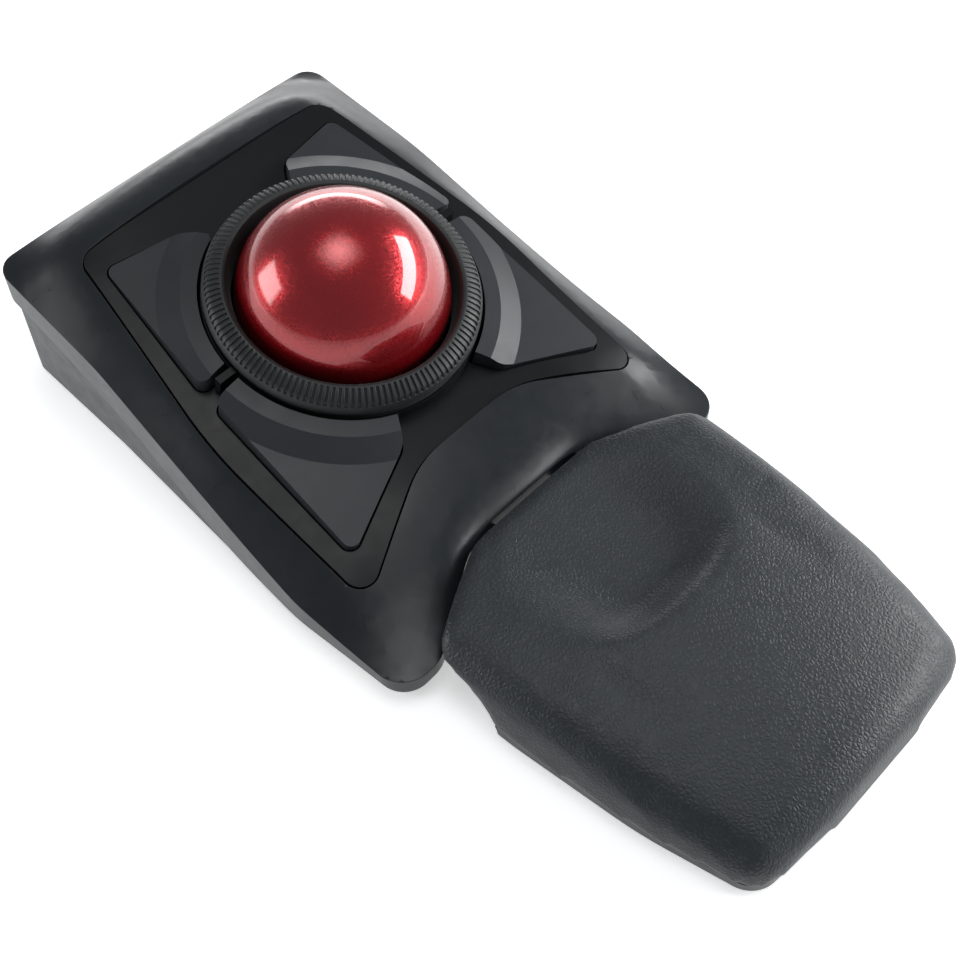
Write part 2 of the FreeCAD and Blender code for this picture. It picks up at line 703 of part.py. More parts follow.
def switch_boards():
    x0, x1, y0, y1 = switch_board_box()
    top = SWITCH_TOP - SWITCH[2]
    board = box(x0, x1, y0, y1, top - BOARD_T, top)
    return [on_deck(board), on_deck(mirrored(board))]


# ---------------------------------------------------------------- case
def upper_case():
    outline = case_outline()
    body = prism(outline, 0, 70).common(case_top(0))
    room = prism(inset(outline, CASE_WALL), -1, 71).common(case_top(CASE_WALL))
    body = body.cut(room)
    body = body.cut(prism(deck_opening(), 0, 71))
    body = body.cut(under_parting())
    for side in (-1, 1):
        body = body.cut(tongue_slot(side * TONGUE_X))
    return body


def tongue_slot(x):
    width, length, thick = TONGUE
    low = FOOT_H + REST_STEP + REST_BASE_T - thick - TONGUE_PLAY
    return box(x - width / 2 - TONGUE_PLAY, x + width / 2 + TONGUE_PLAY, CASE_ARCH_Y - 2, CASE_ARCH_Y + CASE_WALL + 3,
               low, low + thick + 2 * TONGUE_PLAY)


# ---------------------------------------------------------------- battery bay
BAY_Y0 = CASE_BACK_Y - 38.1
BAY_Y1 = BAY_Y0 + 2 * (CELL_D + CELL_PLAY) + 1.0
CELL_ROOM = CELL_L + 2 * CONTACT_ROOM
BAY_X0 = -40.0
BAY_SPLIT = BAY_X0 + CELL_ROOM
BAY_X1 = BAY_SPLIT + BAY_WALL + RECEIVER[0] + 1.0
CELL_Z = FLOOR_Z + CELL_D / 2 + 0.2
BAY_TOP = CELL_Z + CELL_D / 2 + CELL_PLAY


def cell_rows():
    return [BAY_Y0 + 0.5 + (CELL_D + CELL_PLAY) * (i + 0.5) for i in range(2)]


def battery_cells():
    cells = []
    for row, y in enumerate(cell_rows()):
        x0 = BAY_X0 + CONTACT_ROOM
        can = Part.makeCylinder(CELL_D / 2, CELL_L - 1.0, V(x0 + row, y, CELL_Z), V(1, 0, 0))
        tip_x = x0 if row else x0 + CELL_L - 1.0
        tip = Part.makeCylinder(2.6, 1.0, V(tip_x, y, CELL_Z), V(1, 0, 0))
        cells.append(can.fuse(tip))
    return cells


def battery_contacts():
    """A flat plate at each end of each row, with a domed spring at the cells' flat ends."""
    plates = []
    for row, y in enumerate(cell_rows()):
        for end in (0, 1):
            outer = BAY_X0 + CELL_ROOM * end
            step = -1 if end else 1
            x0, x1 = sorted((outer, outer + step * CONTACT_T))
            plate = box(x0, x1, y - 5, y + 5, CELL_Z - 5, CELL_Z + 5)
            reach = CONTACT_ROOM
            spring = Part.makeCone(4.0, 2.0, reach - CONTACT_T, V(outer + step * CONTACT_T, y, CELL_Z), V(step, 0, 0))
            plates.append(plate.fuse(spring))
    return plates


def usb_receiver():
    length, width, height = RECEIVER
    x0 = BAY_SPLIT + BAY_WALL + 0.5
    y0 = (BAY_Y0 + BAY_Y1 - width) / 2
    plug = box(x0, x0 + length * 0.65, y0 + 1.4, y0 + width - 1.4, FLOOR_Z + 1.2, FLOOR_Z + 5.7)
    grip = box(x0 + length * 0.65, x0 + length, y0, y0 + width, FLOOR_Z + 0.4, FLOOR_Z + height)
    return plug.fuse(grip)


def battery_bay():
    """Walls and roof of the bay, standing on the floor."""
    outer = box(BAY_X0 - BAY_WALL, BAY_X1 + BAY_WALL, BAY_Y0 - BAY_WALL, BAY_Y1 + BAY_WALL,
                FLOOR_Z - 0.1, BAY_TOP + BAY_WALL)
    cells = box(BAY_X0, BAY_SPLIT, BAY_Y0, BAY_Y1, 0, BAY_TOP)
    receiver = box(BAY_SPLIT + BAY_WALL, BAY_X1, BAY_Y0, BAY_Y1, 0, BAY_TOP)
    return outer, cells.fuse(receiver)


def door_room():
    """The recess that the battery door slides out of, open at the case's far side."""
    return box(BAY_X0 - 3, BAY_X1 + 3, BAY_Y0 - 3, CASE_BACK_Y + 5, 0, FOOT_H + DOOR_T + DOOR_GAP)


def battery_door():
    plate = box(BAY_X0 - 3 + DOOR_GAP, BAY_X1 + 3 - DOOR_GAP, BAY_Y0 - 3 + DOOR_GAP, CASE_BACK_Y + 5,
                FOOT_H, FOOT_H + DOOR_T)
    plate = plate.common(prism(inset(case_outline(), BASE_INSET), 0, 10))
    for i in range(5):
        y = BAY_Y0 + 8 + 2.0 * i
        plate = plate.cut(box(-7, 7, y, y + 0.8, 0, FOOT_H + 0.6))
    return plate


# ---------------------------------------------------------------- base
SWITCH_SLOT = (-24.0, 12.0, 10.0, 5.0)      # x, y, length, width of the power switch's window
CONNECT_PLACE = (24.0, 12.0)
CONNECT_R = 2.6


def foot_places():
    return [(CASE_X - 10.0, HORN_Y + 17.0), (-CASE_X + 10.0, HORN_Y + 17.0),
            (CASE_X - 11.0, -14.0), (-CASE_X + 11.0, -14.0)]


def screw_places():
    """Case screws: under the deck's side and near posts."""
    return [p for p in post_places() if p[1] < 20]


def foot(x, y, z0, z1):
    capsule = rounded([(x - 4, y - 9, 3.9), (x + 4, y - 9, 3.9), (x + 4, y + 9, 3.9), (x - 4, y + 9, 3.9)])
    return prism(capsule, z0, z1)


def far_foot(side, z0, z1):
    x = side * (CASE_X - 9.0)
    y = CASE_BACK_Y - 13.0
    return prism(rounded([(x - 3.5, y - 7, 3.4), (x + 3.5, y - 7, 3.4), (x + 3.5, y + 7, 3.4), (x - 3.5, y + 7, 3.4)]),
                 z0, z1)


def feet(z0, z1):
    pads = [foot(x, y, z0, z1) for x, y in foot_places()]
    return pads + [far_foot(side, z0, z1) for side in (-1, 1)]


def base_shell():
    outline = inset(case_outline(), BASE_INSET)
    body = prism(outline, FOOT_H, 60).common(under_parting())
    body = body.cut(prism(inset(outline, BASE_WALL), FLOOR_Z, 61))
    bay, hollow = battery_bay()
    body = body.fuse(bay)
    body = body.cut(hollow).cut(door_room())
    lower = deck_top(DECK_T)
    for x, y in post_places():
        foot_z = BAY_TOP if y > 20 else FOOT_H + 0.5
        body = body.fuse(rod(POST_R, x, y, foot_z, 60).common(lower))
        if y < 20:
            body = body.cut(rod(SCREW_R + 0.05, x, y, 0, deck_height(x, y) - DECK_T + 1))
            body = body.cut(rod(SCREW_HEAD_R + 0.2, x, y, 0, FOOT_H + 1.4))
    for x, y in board_pillars():
        body = body.fuse(rod(PILLAR_R, x, y, FLOOR_Z - 0.1, FLOOR_Z + BOARD_LIFT))
    over_boards = on_deck(box(-90, 90, -90, 90, SWITCH_TOP - SWITCH[2] - BOARD_T, 60))
    for x, y in switch_pillars():
        body = body.fuse(rod(PILLAR_R, x, y, FLOOR_Z - 0.1, 60).cut(over_boards))
    for pad in feet(0, FOOT_H + FOOT_SINK):
        body = body.cut(pad)
    x, y, length, width = SWITCH_SLOT
    body = body.cut(box(x - length / 2, x + length / 2, y - width / 2, y + width / 2, 0, FLOOR_Z + 1))
    body = body.cut(rod(CONNECT_R + 0.3, CONNECT_PLACE[0], CONNECT_PLACE[1], 0, FLOOR_Z + 1))
    return body


def case_screws():
    screws = []
    for x, y in screw_places():
        top = deck_height(x, y) - DECK_T * 0.6
        screws.append(rod(SCREW_HEAD_R, x, y, FOOT_H + 0.2, FOOT_H + 1.4).fuse(
            rod(SCREW_R, x, y, FOOT_H + 1.0, top)))
    return screws


def power_switch():
    """Slider in a window of the floor, held by a wider plate inside; on is at +X."""
    x, y, length, width = SWITCH_SLOT
    travel = 4.0
    start = x - length / 2 + 0.3
    knob = box(start, start + length - travel - 0.6, y - width / 2 + 0.3, y + width / 2 - 0.3, FOOT_H - 0.3, FLOOR_Z + 0.3)
    plate = box(start - 1.5, start + length - travel + 0.9, y - width / 2 - 1.5, y + width / 2 + 1.5,
                FLOOR_Z + 0.2, FLOOR_Z + 1.2)
    return knob.fuse(plate)


def connect_button():
    x, y = CONNECT_PLACE
    return rod(CONNECT_R, x, y, FOOT_H + 0.2, FLOOR_Z + 1.4).fuse(
        rod(CONNECT_R + 1.2, x, y, FLOOR_Z + 0.3, FLOOR_Z + 1.4))


def main_board():
    """Carries the radio; notched round the two near posts."""
    z = FLOOR_Z + BOARD_LIFT
    far = -BUTTON_R + 4.8
    near = CASE_ARCH_Y + CASE_WALL + 6.5
    board = box(-36, 36, near, far, z, z + BOARD_T)
    for x, y in post_places():
        board = board.cut(rod(POST_R + 0.4, x, y, z - 1, z + BOARD_T + 1))
    return board


def board_pillars():
    far = -BUTTON_R + 4.8
    near = CASE_ARCH_Y + CASE_WALL + 6.5
    return [(x, y) for x in (-32, 32) for y in (near + 4, far - 4)]


def switch_pillars():
    x = switch_stations()[0].x
    return [(side * x, y) for side in (-1, 1) for y in (-24.0, 24.0)]


def radio_module():
    z = FLOOR_Z + BOARD_LIFT + BOARD_T
    y = (-BUTTON_R + 4.8 + CASE_ARCH_Y + CASE_WALL + 6.5) / 2
    return box(16, 28, y - 6, y + 6, z, z + 2.2)


def board_chips():
    z = FLOOR_Z + BOARD_LIFT + BOARD_T
    y = (-BUTTON_R + 4.8 + CASE_ARCH_Y + CASE_WALL + 6.5) / 2
    return [box(-26, -17, y - 4.5, y + 4.5, z, z + 1.4), box(-5, -1, y - 3, y + 3, z, z + 1.4)]


# ---------------------------------------------------------------- wrist rest
def rest_levels():
    """Underside of the pad: (y, z) from the near edge to the far edge."""
    near = REST_FRONT_Y - 5
    step_y = REST_BACK_Y - 33.0
    low = FOOT_H + REST_BASE_T
    return [(near, low), (step_y, low), (step_y + 10.0, low + REST_STEP), (REST_BACK_Y + 5, low + REST_STEP)]


def case_room():
    """The case with the clearance that the wrist rest keeps from it."""
    grown = prism(inset(case_outline(), -REST_GAP), -1, 70)
    return grown.common(case_top(-REST_GAP))


def corner_relief():
    """Half-round hollows that lift the far corners clear of the case's horns."""
    length, height = REST_RELIEF
    curve = Part.Ellipse(V(0, 0, 0), length, height)
    half = Part.Face(Part.Wire(curve.toShape()))
    half.rotate(V(0, 0, 0), V(1, 0, 0), 90)
    half.rotate(V(0, 0, 0), V(0, 0, 1), 90)
    half.translate(V(REST_RELIEF_X, REST_BACK_Y - REST_EAR, 0))
    cutter = half.extrude(V(REST_REAR_W, 0, 0))
    return cutter.fuse(mirrored(cutter))


def wrist_rest_pad():
    foot_wire = rest_outline()
    top_wire = rest_outline(REST_DRAFT)
    top_wire.translate(V(0, 0, REST_HEIGHT + 2))
    sides = Part.makeLoft([foot_wire, top_wire], True, True)
    pad = sides.common(below(rest_height, 0, REST_REAR_W / 2 + 8, REST_FRONT_Y - 8, REST_BACK_Y + 8, 3.0))
    levels = rest_levels()
    under = levels + [(levels[-1][0], -10), (levels[0][0], -10)]
    pad = pad.cut(profile_prism(under, REST_REAR_W))
    return pad.cut(case_room()).cut(corner_relief())


def wrist_rest_base():
    levels = rest_levels()
    thick = REST_BASE_T
    ring = levels + [(y, z - thick) for y, z in reversed(levels)]
    plate = profile_prism(ring, REST_REAR_W)
    plate = plate.common(prism(inset(rest_outline(), 2.2), 0, 30))
    plate = plate.cut(case_room()).cut(corner_relief())
    width, length, thickness = TONGUE
    top = FOOT_H + REST_STEP + REST_BASE_T
    for side in (-1, 1):
        x = side * TONGUE_X
        tongue = box(x - width / 2, x + width / 2, REST_BACK_Y - 8, CASE_ARCH_Y + length, top - thickness, top)
        plate = plate.fuse(tongue)
    return plate


def wrist_rest_feet():
    y_far = REST_BACK_Y - 40
    y_near = REST_FRONT_Y + 13
    pads = []
    for side in (-1, 1):
        pads.append(rod(5.0, side * 36, y_far, 0, FOOT_H))
        pads.append(rod(5.0, side * 27, y_near, 0, FOOT_H))
    return pads


# ---------------------------------------------------------------- build
def main():
    os.makedirs("parts", exist_ok=True)
    export("trackball", trackball())
    export("ball_cup", ball_cup())
    export("support_bearings", *support_bearings())
    export("scroll_ring", scroll_ring())
    export("encoder_ring", encoder_ring())
    export("encoder_sensor", encoder_sensor())
    export("sensor_lens", sensor_lens())
    export("optical_sensor", optical_sensor())
    export("sensor_board", sensor_board())
    for name, corners, line in (("rear", far_button_corners(), far_hinge()),
                                ("front", near_button_corners(), near_hinge())):
        right = button(corners, line)
        export("right_" + name + "_button", right)
        export("left_" + name + "_button", mirrored(right))
    export("button_deck", button_deck())
    export("button_switches", *button_switches())
    export("switch_boards", *switch_boards())
    export("upper_case", upper_case())
    export("base_shell", base_shell())
    export("battery_cells", *battery_cells())
    export("battery_contacts", *battery_contacts())
    export("battery_door", battery_door())
    export("usb_receiver", usb_receiver())
    export("case_screws", *case_screws())
    export("case_feet", *feet(0, FOOT_H + FOOT_SINK))
    export("power_switch", power_switch())
    export("connect_button", connect_button())
    export("main_board", main_board())
    export("radio_module", radio_module())
    export("board_chips", *board_chips())
    export("wrist_rest_pad", wrist_rest_pad())
    export("wrist_rest_base", wrist_rest_base())
    export("wrist_rest_feet", *wrist_rest_feet())


main()
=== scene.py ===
"""The looks of a desktop trackball: ball, scroll ring, four buttons, case and padded wrist rest.

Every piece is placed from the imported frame. X is the user's right, Y runs away from the user
and Z is up, in metres; sizes that a maker would state are written in millimetres.
"""

import logging
import math
from dataclasses import dataclass
from enum import Enum

import bpy
from mathutils import Matrix, Vector


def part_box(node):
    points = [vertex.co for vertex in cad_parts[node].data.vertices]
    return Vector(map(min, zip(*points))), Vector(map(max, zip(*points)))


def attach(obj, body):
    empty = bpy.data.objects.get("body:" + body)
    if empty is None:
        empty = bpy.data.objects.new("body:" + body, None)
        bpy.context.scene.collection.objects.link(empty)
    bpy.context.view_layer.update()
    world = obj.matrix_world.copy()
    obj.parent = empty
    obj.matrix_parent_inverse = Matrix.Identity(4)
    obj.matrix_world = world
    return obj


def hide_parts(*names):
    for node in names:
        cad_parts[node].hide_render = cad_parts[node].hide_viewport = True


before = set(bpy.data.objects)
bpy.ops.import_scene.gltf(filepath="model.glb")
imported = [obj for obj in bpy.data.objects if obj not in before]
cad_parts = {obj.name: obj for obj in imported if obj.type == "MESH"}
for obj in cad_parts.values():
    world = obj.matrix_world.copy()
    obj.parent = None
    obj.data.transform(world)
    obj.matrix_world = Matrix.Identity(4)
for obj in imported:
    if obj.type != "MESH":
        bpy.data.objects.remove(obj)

MM = 0.001
DECK_TILT = math.radians(13.4)
LOG = logging.getLogger("trackball")

MERGE_GAP_MM = 0.002     # points nearer than this are one point
MOTTLE_MM = 14           # slow drift of colour over a moulding
SMEAR_MM = 5             # size of a handling mark
SMEAR_RANGE = (0.3, 0.7)     # part of the noise that runs from glossier to duller
FINE_BUMP = 0.6          # strength of a fine moulded or drawn grain
DRAWN_STRETCH = 0.08     # a drawing line is this much finer across than along
HIDE_PUSH_MM = 0.9       # how far the leatherette's pebbles stray from an even net
HIDE_CREASE = 0.34       # share of a pebble that falls away to its crease
HIDE_PORES = 0.30        # height of the pores against the pebbles
# painted shade in the leatherette's creases and painted highlight on its crests
HIDE_PAINTED_SHADE_AND_HIGHLIGHT = (0.80, 1.05)     # brightness in the creases and on the crests


# ---------------------------------------------------------------- colour and nodes
def linear(hex_colour: str) -> tuple[float, float, float, float]:
    """Turns an sRGB hex colour into a linear one.

    Args:
        hex_colour: Six hex digits with a leading hash.

    Returns:
        Linear red, green, blue and an alpha of 1.
    """
    channels = [int(hex_colour[i:i + 2], 16) / 255 for i in (1, 3, 5)]
    turned = [c / 12.92 if c <= 0.04045 else ((c + 0.055) / 1.055) ** 2.4 for c in channels]
    return (turned[0], turned[1], turned[2], 1.0)


def add_node(tree: bpy.types.NodeTree, kind: str, settings: dict | None = None,
             links: dict | None = None) -> bpy.types.Node:
    """Adds one shader node.

    Args:
        tree: The node tree to add to.
        kind: The node's type name.
        settings: Values by socket name or number, or by property name.
        links: Output sockets by the name or number of the input they feed.

    Returns:
        The new node.
    """
    made = tree.nodes.new(kind)
    for key, value in (settings or {}).items():
        if isinstance(key, int) or key in made.inputs:
            made.inputs[key].default_value = value
        else:
            setattr(made, key, value)
    for key, socket in (links or {}).items():
        tree.links.new(socket, made.inputs[key])
    return made


class Grain(Enum):
    """How a finish's surface was made."""

    SMOOTH = "smooth"        # polished or high-gloss tool
    SPARK = "spark"          # spark-eroded tool, fine even pits
    HIDE = "hide"            # pebbled leatherette with creases
    FLAKE = "flake"          # metal flakes under a clear coat
    DRAWN = "drawn"          # drawn or rolled metal, fine lines along X


@dataclass(frozen=True)
class Finish:
    """One material of the object.

    Attributes:
        slot: The record's material slot.
        made_of: The real material's name and how its surface was made.
        colour: Base colour in sRGB hex.
        second: The colour that the mottling drifts to.
        rough: Roughness, and how much smears and wear change it.
        ior: Index of refraction of a plastic, set on the deck, case and keys; metals keep the default.
        metal: 1 for bare metal.
        coat: Weight of a clear coat.
        coat_rough: Roughness of that coat.
        sheen: Weight of soft fuzz light at grazing angles.
        through: Transmission, for clear pieces.
        grain: How the surface was made.
        pitch: Size of the grain in millimetres.
        depth: Height of the grain in millimetres; for flakes, how far they lean.
    """

    slot: str
    made_of: str
    colour: str
    second: str
    rough: tuple[float, float]
    ior: float = 1.5
    metal: float = 0.0
    coat: float = 0.0
    coat_rough: float = 0.03
    sheen: float = 0.0
    through: float = 0.0
    grain: Grain = Grain.SPARK
    pitch: float = 0.5
    depth: float = 0.01

    def build(self) -> bpy.types.Material:
        """Makes the node material on Object coordinates.

        Returns:
            The material, which no piece wears yet.
        """
        material = bpy.data.materials.new(self.made_of)
        material.use_nodes = True
        material.diffuse_color = linear(self.colour)
        tree = material.node_tree
        tree.nodes.clear()
        place = add_node(tree, "ShaderNodeTexCoord").outputs["Object"]
        # slow mottling: the faint unevenness of any moulded or wrapped surface
        cloud = add_node(tree, "ShaderNodeTexNoise",
                         {"Scale": 1 / (MOTTLE_MM * MM), "Detail": 3.0, "Roughness": 0.55}, {"Vector": place})
        tone = add_node(tree, "ShaderNodeMix", {"data_type": "RGBA", 6: linear(self.colour),
                                                7: linear(self.second)}, {0: cloud.outputs[0]})
        # handling marks: patches that are a little glossier or duller
        smear = add_node(tree, "ShaderNodeTexNoise",
                         {"Scale": 1 / (SMEAR_MM * MM), "Detail": 4.0, "Distortion": 0.6}, {"Vector": place})
        low, high = self.rough[0] - self.rough[1], self.rough[0] + self.rough[1]
        worn = add_node(tree, "ShaderNodeMapRange",
                        {"From Min": SMEAR_RANGE[0], "From Max": SMEAR_RANGE[1],
                         "To Min": low, "To Max": high},
                        {"Value": smear.outputs[0]})
        colour, normal = self.relief(tree, place, tone.outputs[2])
        shader = add_node(tree, "ShaderNodeBsdfPrincipled",
                          {"Metallic": self.metal, "IOR": self.ior, "Coat Weight": self.coat,
                           "Coat Roughness": self.coat_rough, "Sheen Weight": self.sheen,
                           "Sheen Roughness": 0.4, "Transmission Weight": self.through},
                          {"Base Color": colour, "Roughness": worn.outputs[0], "Normal": normal})
        add_node(tree, "ShaderNodeOutputMaterial", {}, {"Surface": shader.outputs[0]})
        return material

    def relief(self, tree: bpy.types.NodeTree, place: bpy.types.NodeSocket,
               tone: bpy.types.NodeSocket) -> tuple[bpy.types.NodeSocket, bpy.types.NodeSocket]:
        """Adds the grain.

        Args:
            tree: The material's node tree.
            place: Object coordinates.
            tone: The colour so far.

        Returns:
            The colour and the normal.
        """
        scale = 1 / (self.pitch * MM)
        if self.grain is Grain.HIDE:
            return self.hide(tree, place, tone, scale)
        if self.grain is Grain.FLAKE:
            return self.flakes(tree, place, tone, scale)
        stretch = (DRAWN_STRETCH, 1.0, 1.0) if self.grain is Grain.DRAWN else (1.0, 1.0, 1.0)
        mapped = add_node(tree, "ShaderNodeMapping", {"Scale": stretch}, {"Vector": place})
        fine = add_node(tree, "ShaderNodeTexNoise", {"Scale": scale, "Detail": 2.0},
                        {"Vector": mapped.outputs[0]})
        bump = add_node(tree, "ShaderNodeBump", {"Strength": FINE_BUMP, "Distance": self.depth * MM},
                        {"Height": fine.outputs[0]})
        return tone, bump.outputs[0]

    def hide(self, tree: bpy.types.NodeTree, place: bpy.types.NodeSocket, tone: bpy.types.NodeSocket,
             scale: float) -> tuple[bpy.types.NodeSocket, bpy.types.NodeSocket]:
        """Pebbles of uneven size parted by creases, with painted shade in the creases and a painted highlight
        on the crests.

        Args:
            tree: The material's node tree.
            place: Object coordinates.
            tone: The colour so far.
            scale: Pebbles to the metre.

        Returns:
            The colour and the normal.
        """
        warp = add_node(tree, "ShaderNodeTexNoise", {"Scale": scale * 0.45, "Detail": 2.0},
                        {"Vector": place})
        pushed = add_node(tree, "ShaderNodeVectorMath",
                          {"operation": "MULTIPLY_ADD", 1: (HIDE_PUSH_MM * MM,) * 3},
                          {0: warp.outputs[1], 2: place})
        cells = add_node(tree, "ShaderNodeTexVoronoi", {"feature": "DISTANCE_TO_EDGE", "Scale": scale},
                         {"Vector": pushed.outputs[0]})
        pebble = add_node(tree, "ShaderNodeMapRange",
                          {"interpolation_type": "SMOOTHSTEP", "From Min": 0.0, "From Max": HIDE_CREASE},
                          {"Value": cells.outputs[0]})
        pores = add_node(tree, "ShaderNodeTexNoise", {"Scale": scale * 3.2, "Detail": 3.0},
                         {"Vector": place})
        height = add_node(tree, "ShaderNodeMath", {"operation": "MULTIPLY_ADD", 1: HIDE_PORES},
                          {0: pores.outputs[0], 2: pebble.outputs[0]})
        bump = add_node(tree, "ShaderNodeBump", {"Strength": 1.0, "Distance": self.depth * MM},
                        {"Height": height.outputs[0]})
        # painted shade in the creases and painted highlight on the crests, following each pebble's height
        shade = add_node(tree, "ShaderNodeMapRange", {"To Min": HIDE_PAINTED_SHADE_AND_HIGHLIGHT[0], "To Max": HIDE_PAINTED_SHADE_AND_HIGHLIGHT[1]},
                         {"Value": pebble.outputs[0]})
        dark = add_node(tree, "ShaderNodeVectorMath", {"operation": "SCALE"},
                        {0: tone, "Scale": shade.outputs[0]})
        return dark.outputs[0], bump.outputs[0]

    def flakes(self, tree: bpy.types.NodeTree, place: bpy.types.NodeSocket, tone: bpy.types.NodeSocket,
               scale: float) -> tuple[bpy.types.NodeSocket, bpy.types.NodeSocket]:
        """Flakes that each lie at their own slight angle, so some of them flash.

        Args:
            tree: The material's node tree.
            place: Object coordinates.
            tone: The colour so far.
            scale: Flakes to the metre.

        Returns:
            The colour and the normal.
        """
        cells = add_node(tree, "ShaderNodeTexVoronoi", {"feature": "F1", "Scale": scale},
                         {"Vector": place})
        lean = add_node(tree, "ShaderNodeVectorMath",
                        {"operation": "MULTIPLY_ADD", 1: (self.depth,) * 3, 2: (-self.depth / 2,) * 3},
                        {0: cells.outputs[1]})
        surface = add_node(tree, "ShaderNodeNewGeometry").outputs["Normal"]
        tipped = add_node(tree, "ShaderNodeVectorMath", {"operation": "ADD"},
                          {0: lean.outputs[0], 1: surface})
        unit = add_node(tree, "ShaderNodeVectorMath", {"operation": "NORMALIZE"},
                        {0: tipped.outputs[0]})
        return tone, unit.outputs[0]


FINISHES: tuple[Finish, ...] = (
    # Cast phenolic resin under a lacquer: deep red with fine sparkle and mirror-sharp reflections.
    Finish("ball_red", "cast_phenolic_resin_candy_red", "#8E0B14", "#A00F19", (0.27, 0.02), metal=0.66,
           coat=1.0, coat_rough=0.015, grain=Grain.FLAKE, pitch=0.22, depth=0.17),
    # Acetal is slippery and slightly waxy, so the cup under the ball has a soft dull light.
    Finish("cup_plastic", "moulded_acetal_black", "#141617", "#1B1D1F", (0.42, 0.05), ior=1.48,
           pitch=0.4, depth=0.01),
    # Polished zirconia beads: small white points with a hard highlight.
    Finish("bearing_ceramic", "polished_zirconia", "#E9E6DE", "#F1EFE9", (0.12, 0.02), ior=2.15,
           grain=Grain.SMOOTH, pitch=0.3, depth=0.002),
    # Soft rubber over the ring: matt, and grey only where a rib's crest catches the light.
    Finish("ring_rubber", "moulded_tpe_rubber_black", "#131617", "#191C1E", (0.50, 0.06), ior=1.5,
           sheen=0.06, pitch=0.35, depth=0.02),
    # Epoxy moulding compound of a chip: dead black with a fine sandy surface.
    Finish("sensor_black", "moulded_epoxy_black", "#0F1011", "#17181A", (0.55, 0.05), pitch=0.15, depth=0.01),
    # Clear polycarbonate lens: glassy, with slight flow marks.
    Finish("lens_clear", "clear_polycarbonate", "#F4F6F8", "#FFFFFF", (0.05, 0.01), ior=1.585, through=1.0,
           grain=Grain.SMOOTH, pitch=2.0, depth=0.002),
    # Glass-epoxy board under green solder mask: the weave shows as a faint fine texture.
    Finish("circuit_board", "glass_epoxy_green_mask", "#14502F", "#1B6039", (0.35, 0.06), coat=0.3,
           pitch=0.6, depth=0.01),
    # ABS from a finely polished tool: grey, with broad soft reflections.
    Finish("button_plastic", "moulded_abs_satin_grey", "#25282B", "#2B2E31", (0.42, 0.03), ior=1.40,
           pitch=0.25, depth=0.003),
    # ABS with a satin finish, nearly black: it stays darker than the keys and has only a soft sheen.
    Finish("deck_gloss", "moulded_abs_satin_near_black", "#0E1011", "#121415", (0.34, 0.03), ior=1.30,
           grain=Grain.SMOOTH, pitch=3.0, depth=0.002),
    # ABS with a satin tool finish: soft streaks of light along its curves.
    Finish("case_plastic", "moulded_abs_satin_black", "#181C1F", "#1E2225", (0.30, 0.03), ior=1.42,
           pitch=0.3, depth=0.003),
    # ABS with a spark-eroded tool finish: even dull dark grey under the gloss of the top.
    Finish("base_plastic", "moulded_abs_spark_texture", "#2A2D30", "#303437", (0.44, 0.05), ior=1.53,
           pitch=0.35, depth=0.02),
    # Printed film round a cell: shiny copper-gold over steel.
    Finish("cell_wrap", "printed_film_on_steel", "#9A6B2E", "#A8783A", (0.25, 0.05), metal=0.3, coat=0.5,
           grain=Grain.SMOOTH, pitch=4.0, depth=0.002),
    # Nickel-plated spring steel: bright, with fine rolling lines.
    Finish("contact_nickel", "nickel_plated_spring_steel", "#C9C5BC", "#D6D2CA", (0.22, 0.05), metal=1.0,
           grain=Grain.DRAWN, pitch=0.15, depth=0.004),
    # Zinc-plated steel screws: grey with a slight blue cast.
    Finish("screw_steel", "zinc_plated_steel", "#A7ABB0", "#B8BCC1", (0.30, 0.06), metal=1.0,
           grain=Grain.DRAWN, pitch=0.2, depth=0.004),
    # Silicone rubber feet: dark, matt and slightly dusty.
    Finish("foot_rubber", "silicone_rubber_charcoal", "#26282A", "#303234", (0.66, 0.06), ior=1.43,
           sheen=0.2, pitch=0.5, depth=0.03),
    # Acetal slider and key: mid grey so that they show on the dark base.
    Finish("slider_grey", "moulded_acetal_grey", "#7C8084", "#868A8E", (0.38, 0.05), ior=1.48,
           pitch=0.3, depth=0.008),
    # Polyurethane leatherette, embossed: pebbles about a millimetre wide, a soft sheen and a painted
    # highlight on their crests, painted shade in their creases.
    Finish("rest_leather", "embossed_polyurethane_leatherette", "#202528", "#292F33", (0.47, 0.05), ior=1.45,
           sheen=0.08, grain=Grain.HIDE, pitch=1.1, depth=0.065),
)


class Finishes:
    """Builds every finish once and hands them out by slot."""

    def __init__(self) -> None:
        """Builds the materials."""
        self.by_slot = {finish.slot: finish.build() for finish in FINISHES}

    def dress(self, piece: bpy.types.Object, slot: str) -> None:
        """Gives a piece one material.

        Args:
            piece: The mesh object.
            slot: The record's material slot.
        """
        piece.data.materials.clear()
        piece.data.materials.append(self.by_slot[slot])


# ---------------------------------------------------------------- modelling by operator
def deselect() -> None:
    """Leaves edit mode and clears the selection."""
    if bpy.context.object and bpy.context.object.mode != "OBJECT":
        bpy.ops.object.mode_set(mode="OBJECT")
    bpy.ops.object.select_all(action="DESELECT")


def activate(piece: bpy.types.Object) -> None:
    """Selects one piece alone.

    Args:
        piece: The object to select.
    """
    deselect()
    piece.select_set(True)
    bpy.context.view_layer.objects.active = piece


def seat(piece: bpy.types.Object) -> None:
    """Puts a piece's place, turn and size into its mesh."""
    activate(piece)
    bpy.ops.object.transform_apply(location=True, rotation=True, scale=True)


def merge(piece: bpy.types.Object, outward: bool = False) -> None:
    """Joins a mesh's doubled points.

    Args:
        piece: The mesh object.
        outward: Whether the faces are turned outwards after that.
    """
    activate(piece)
    bpy.ops.object.mode_set(mode="EDIT")
    bpy.ops.mesh.select_all(action="SELECT")
    bpy.ops.mesh.remove_doubles(threshold=MERGE_GAP_MM * MM)
    if outward:
        bpy.ops.mesh.normals_make_consistent(inside=False)
    bpy.ops.object.mode_set(mode="OBJECT")


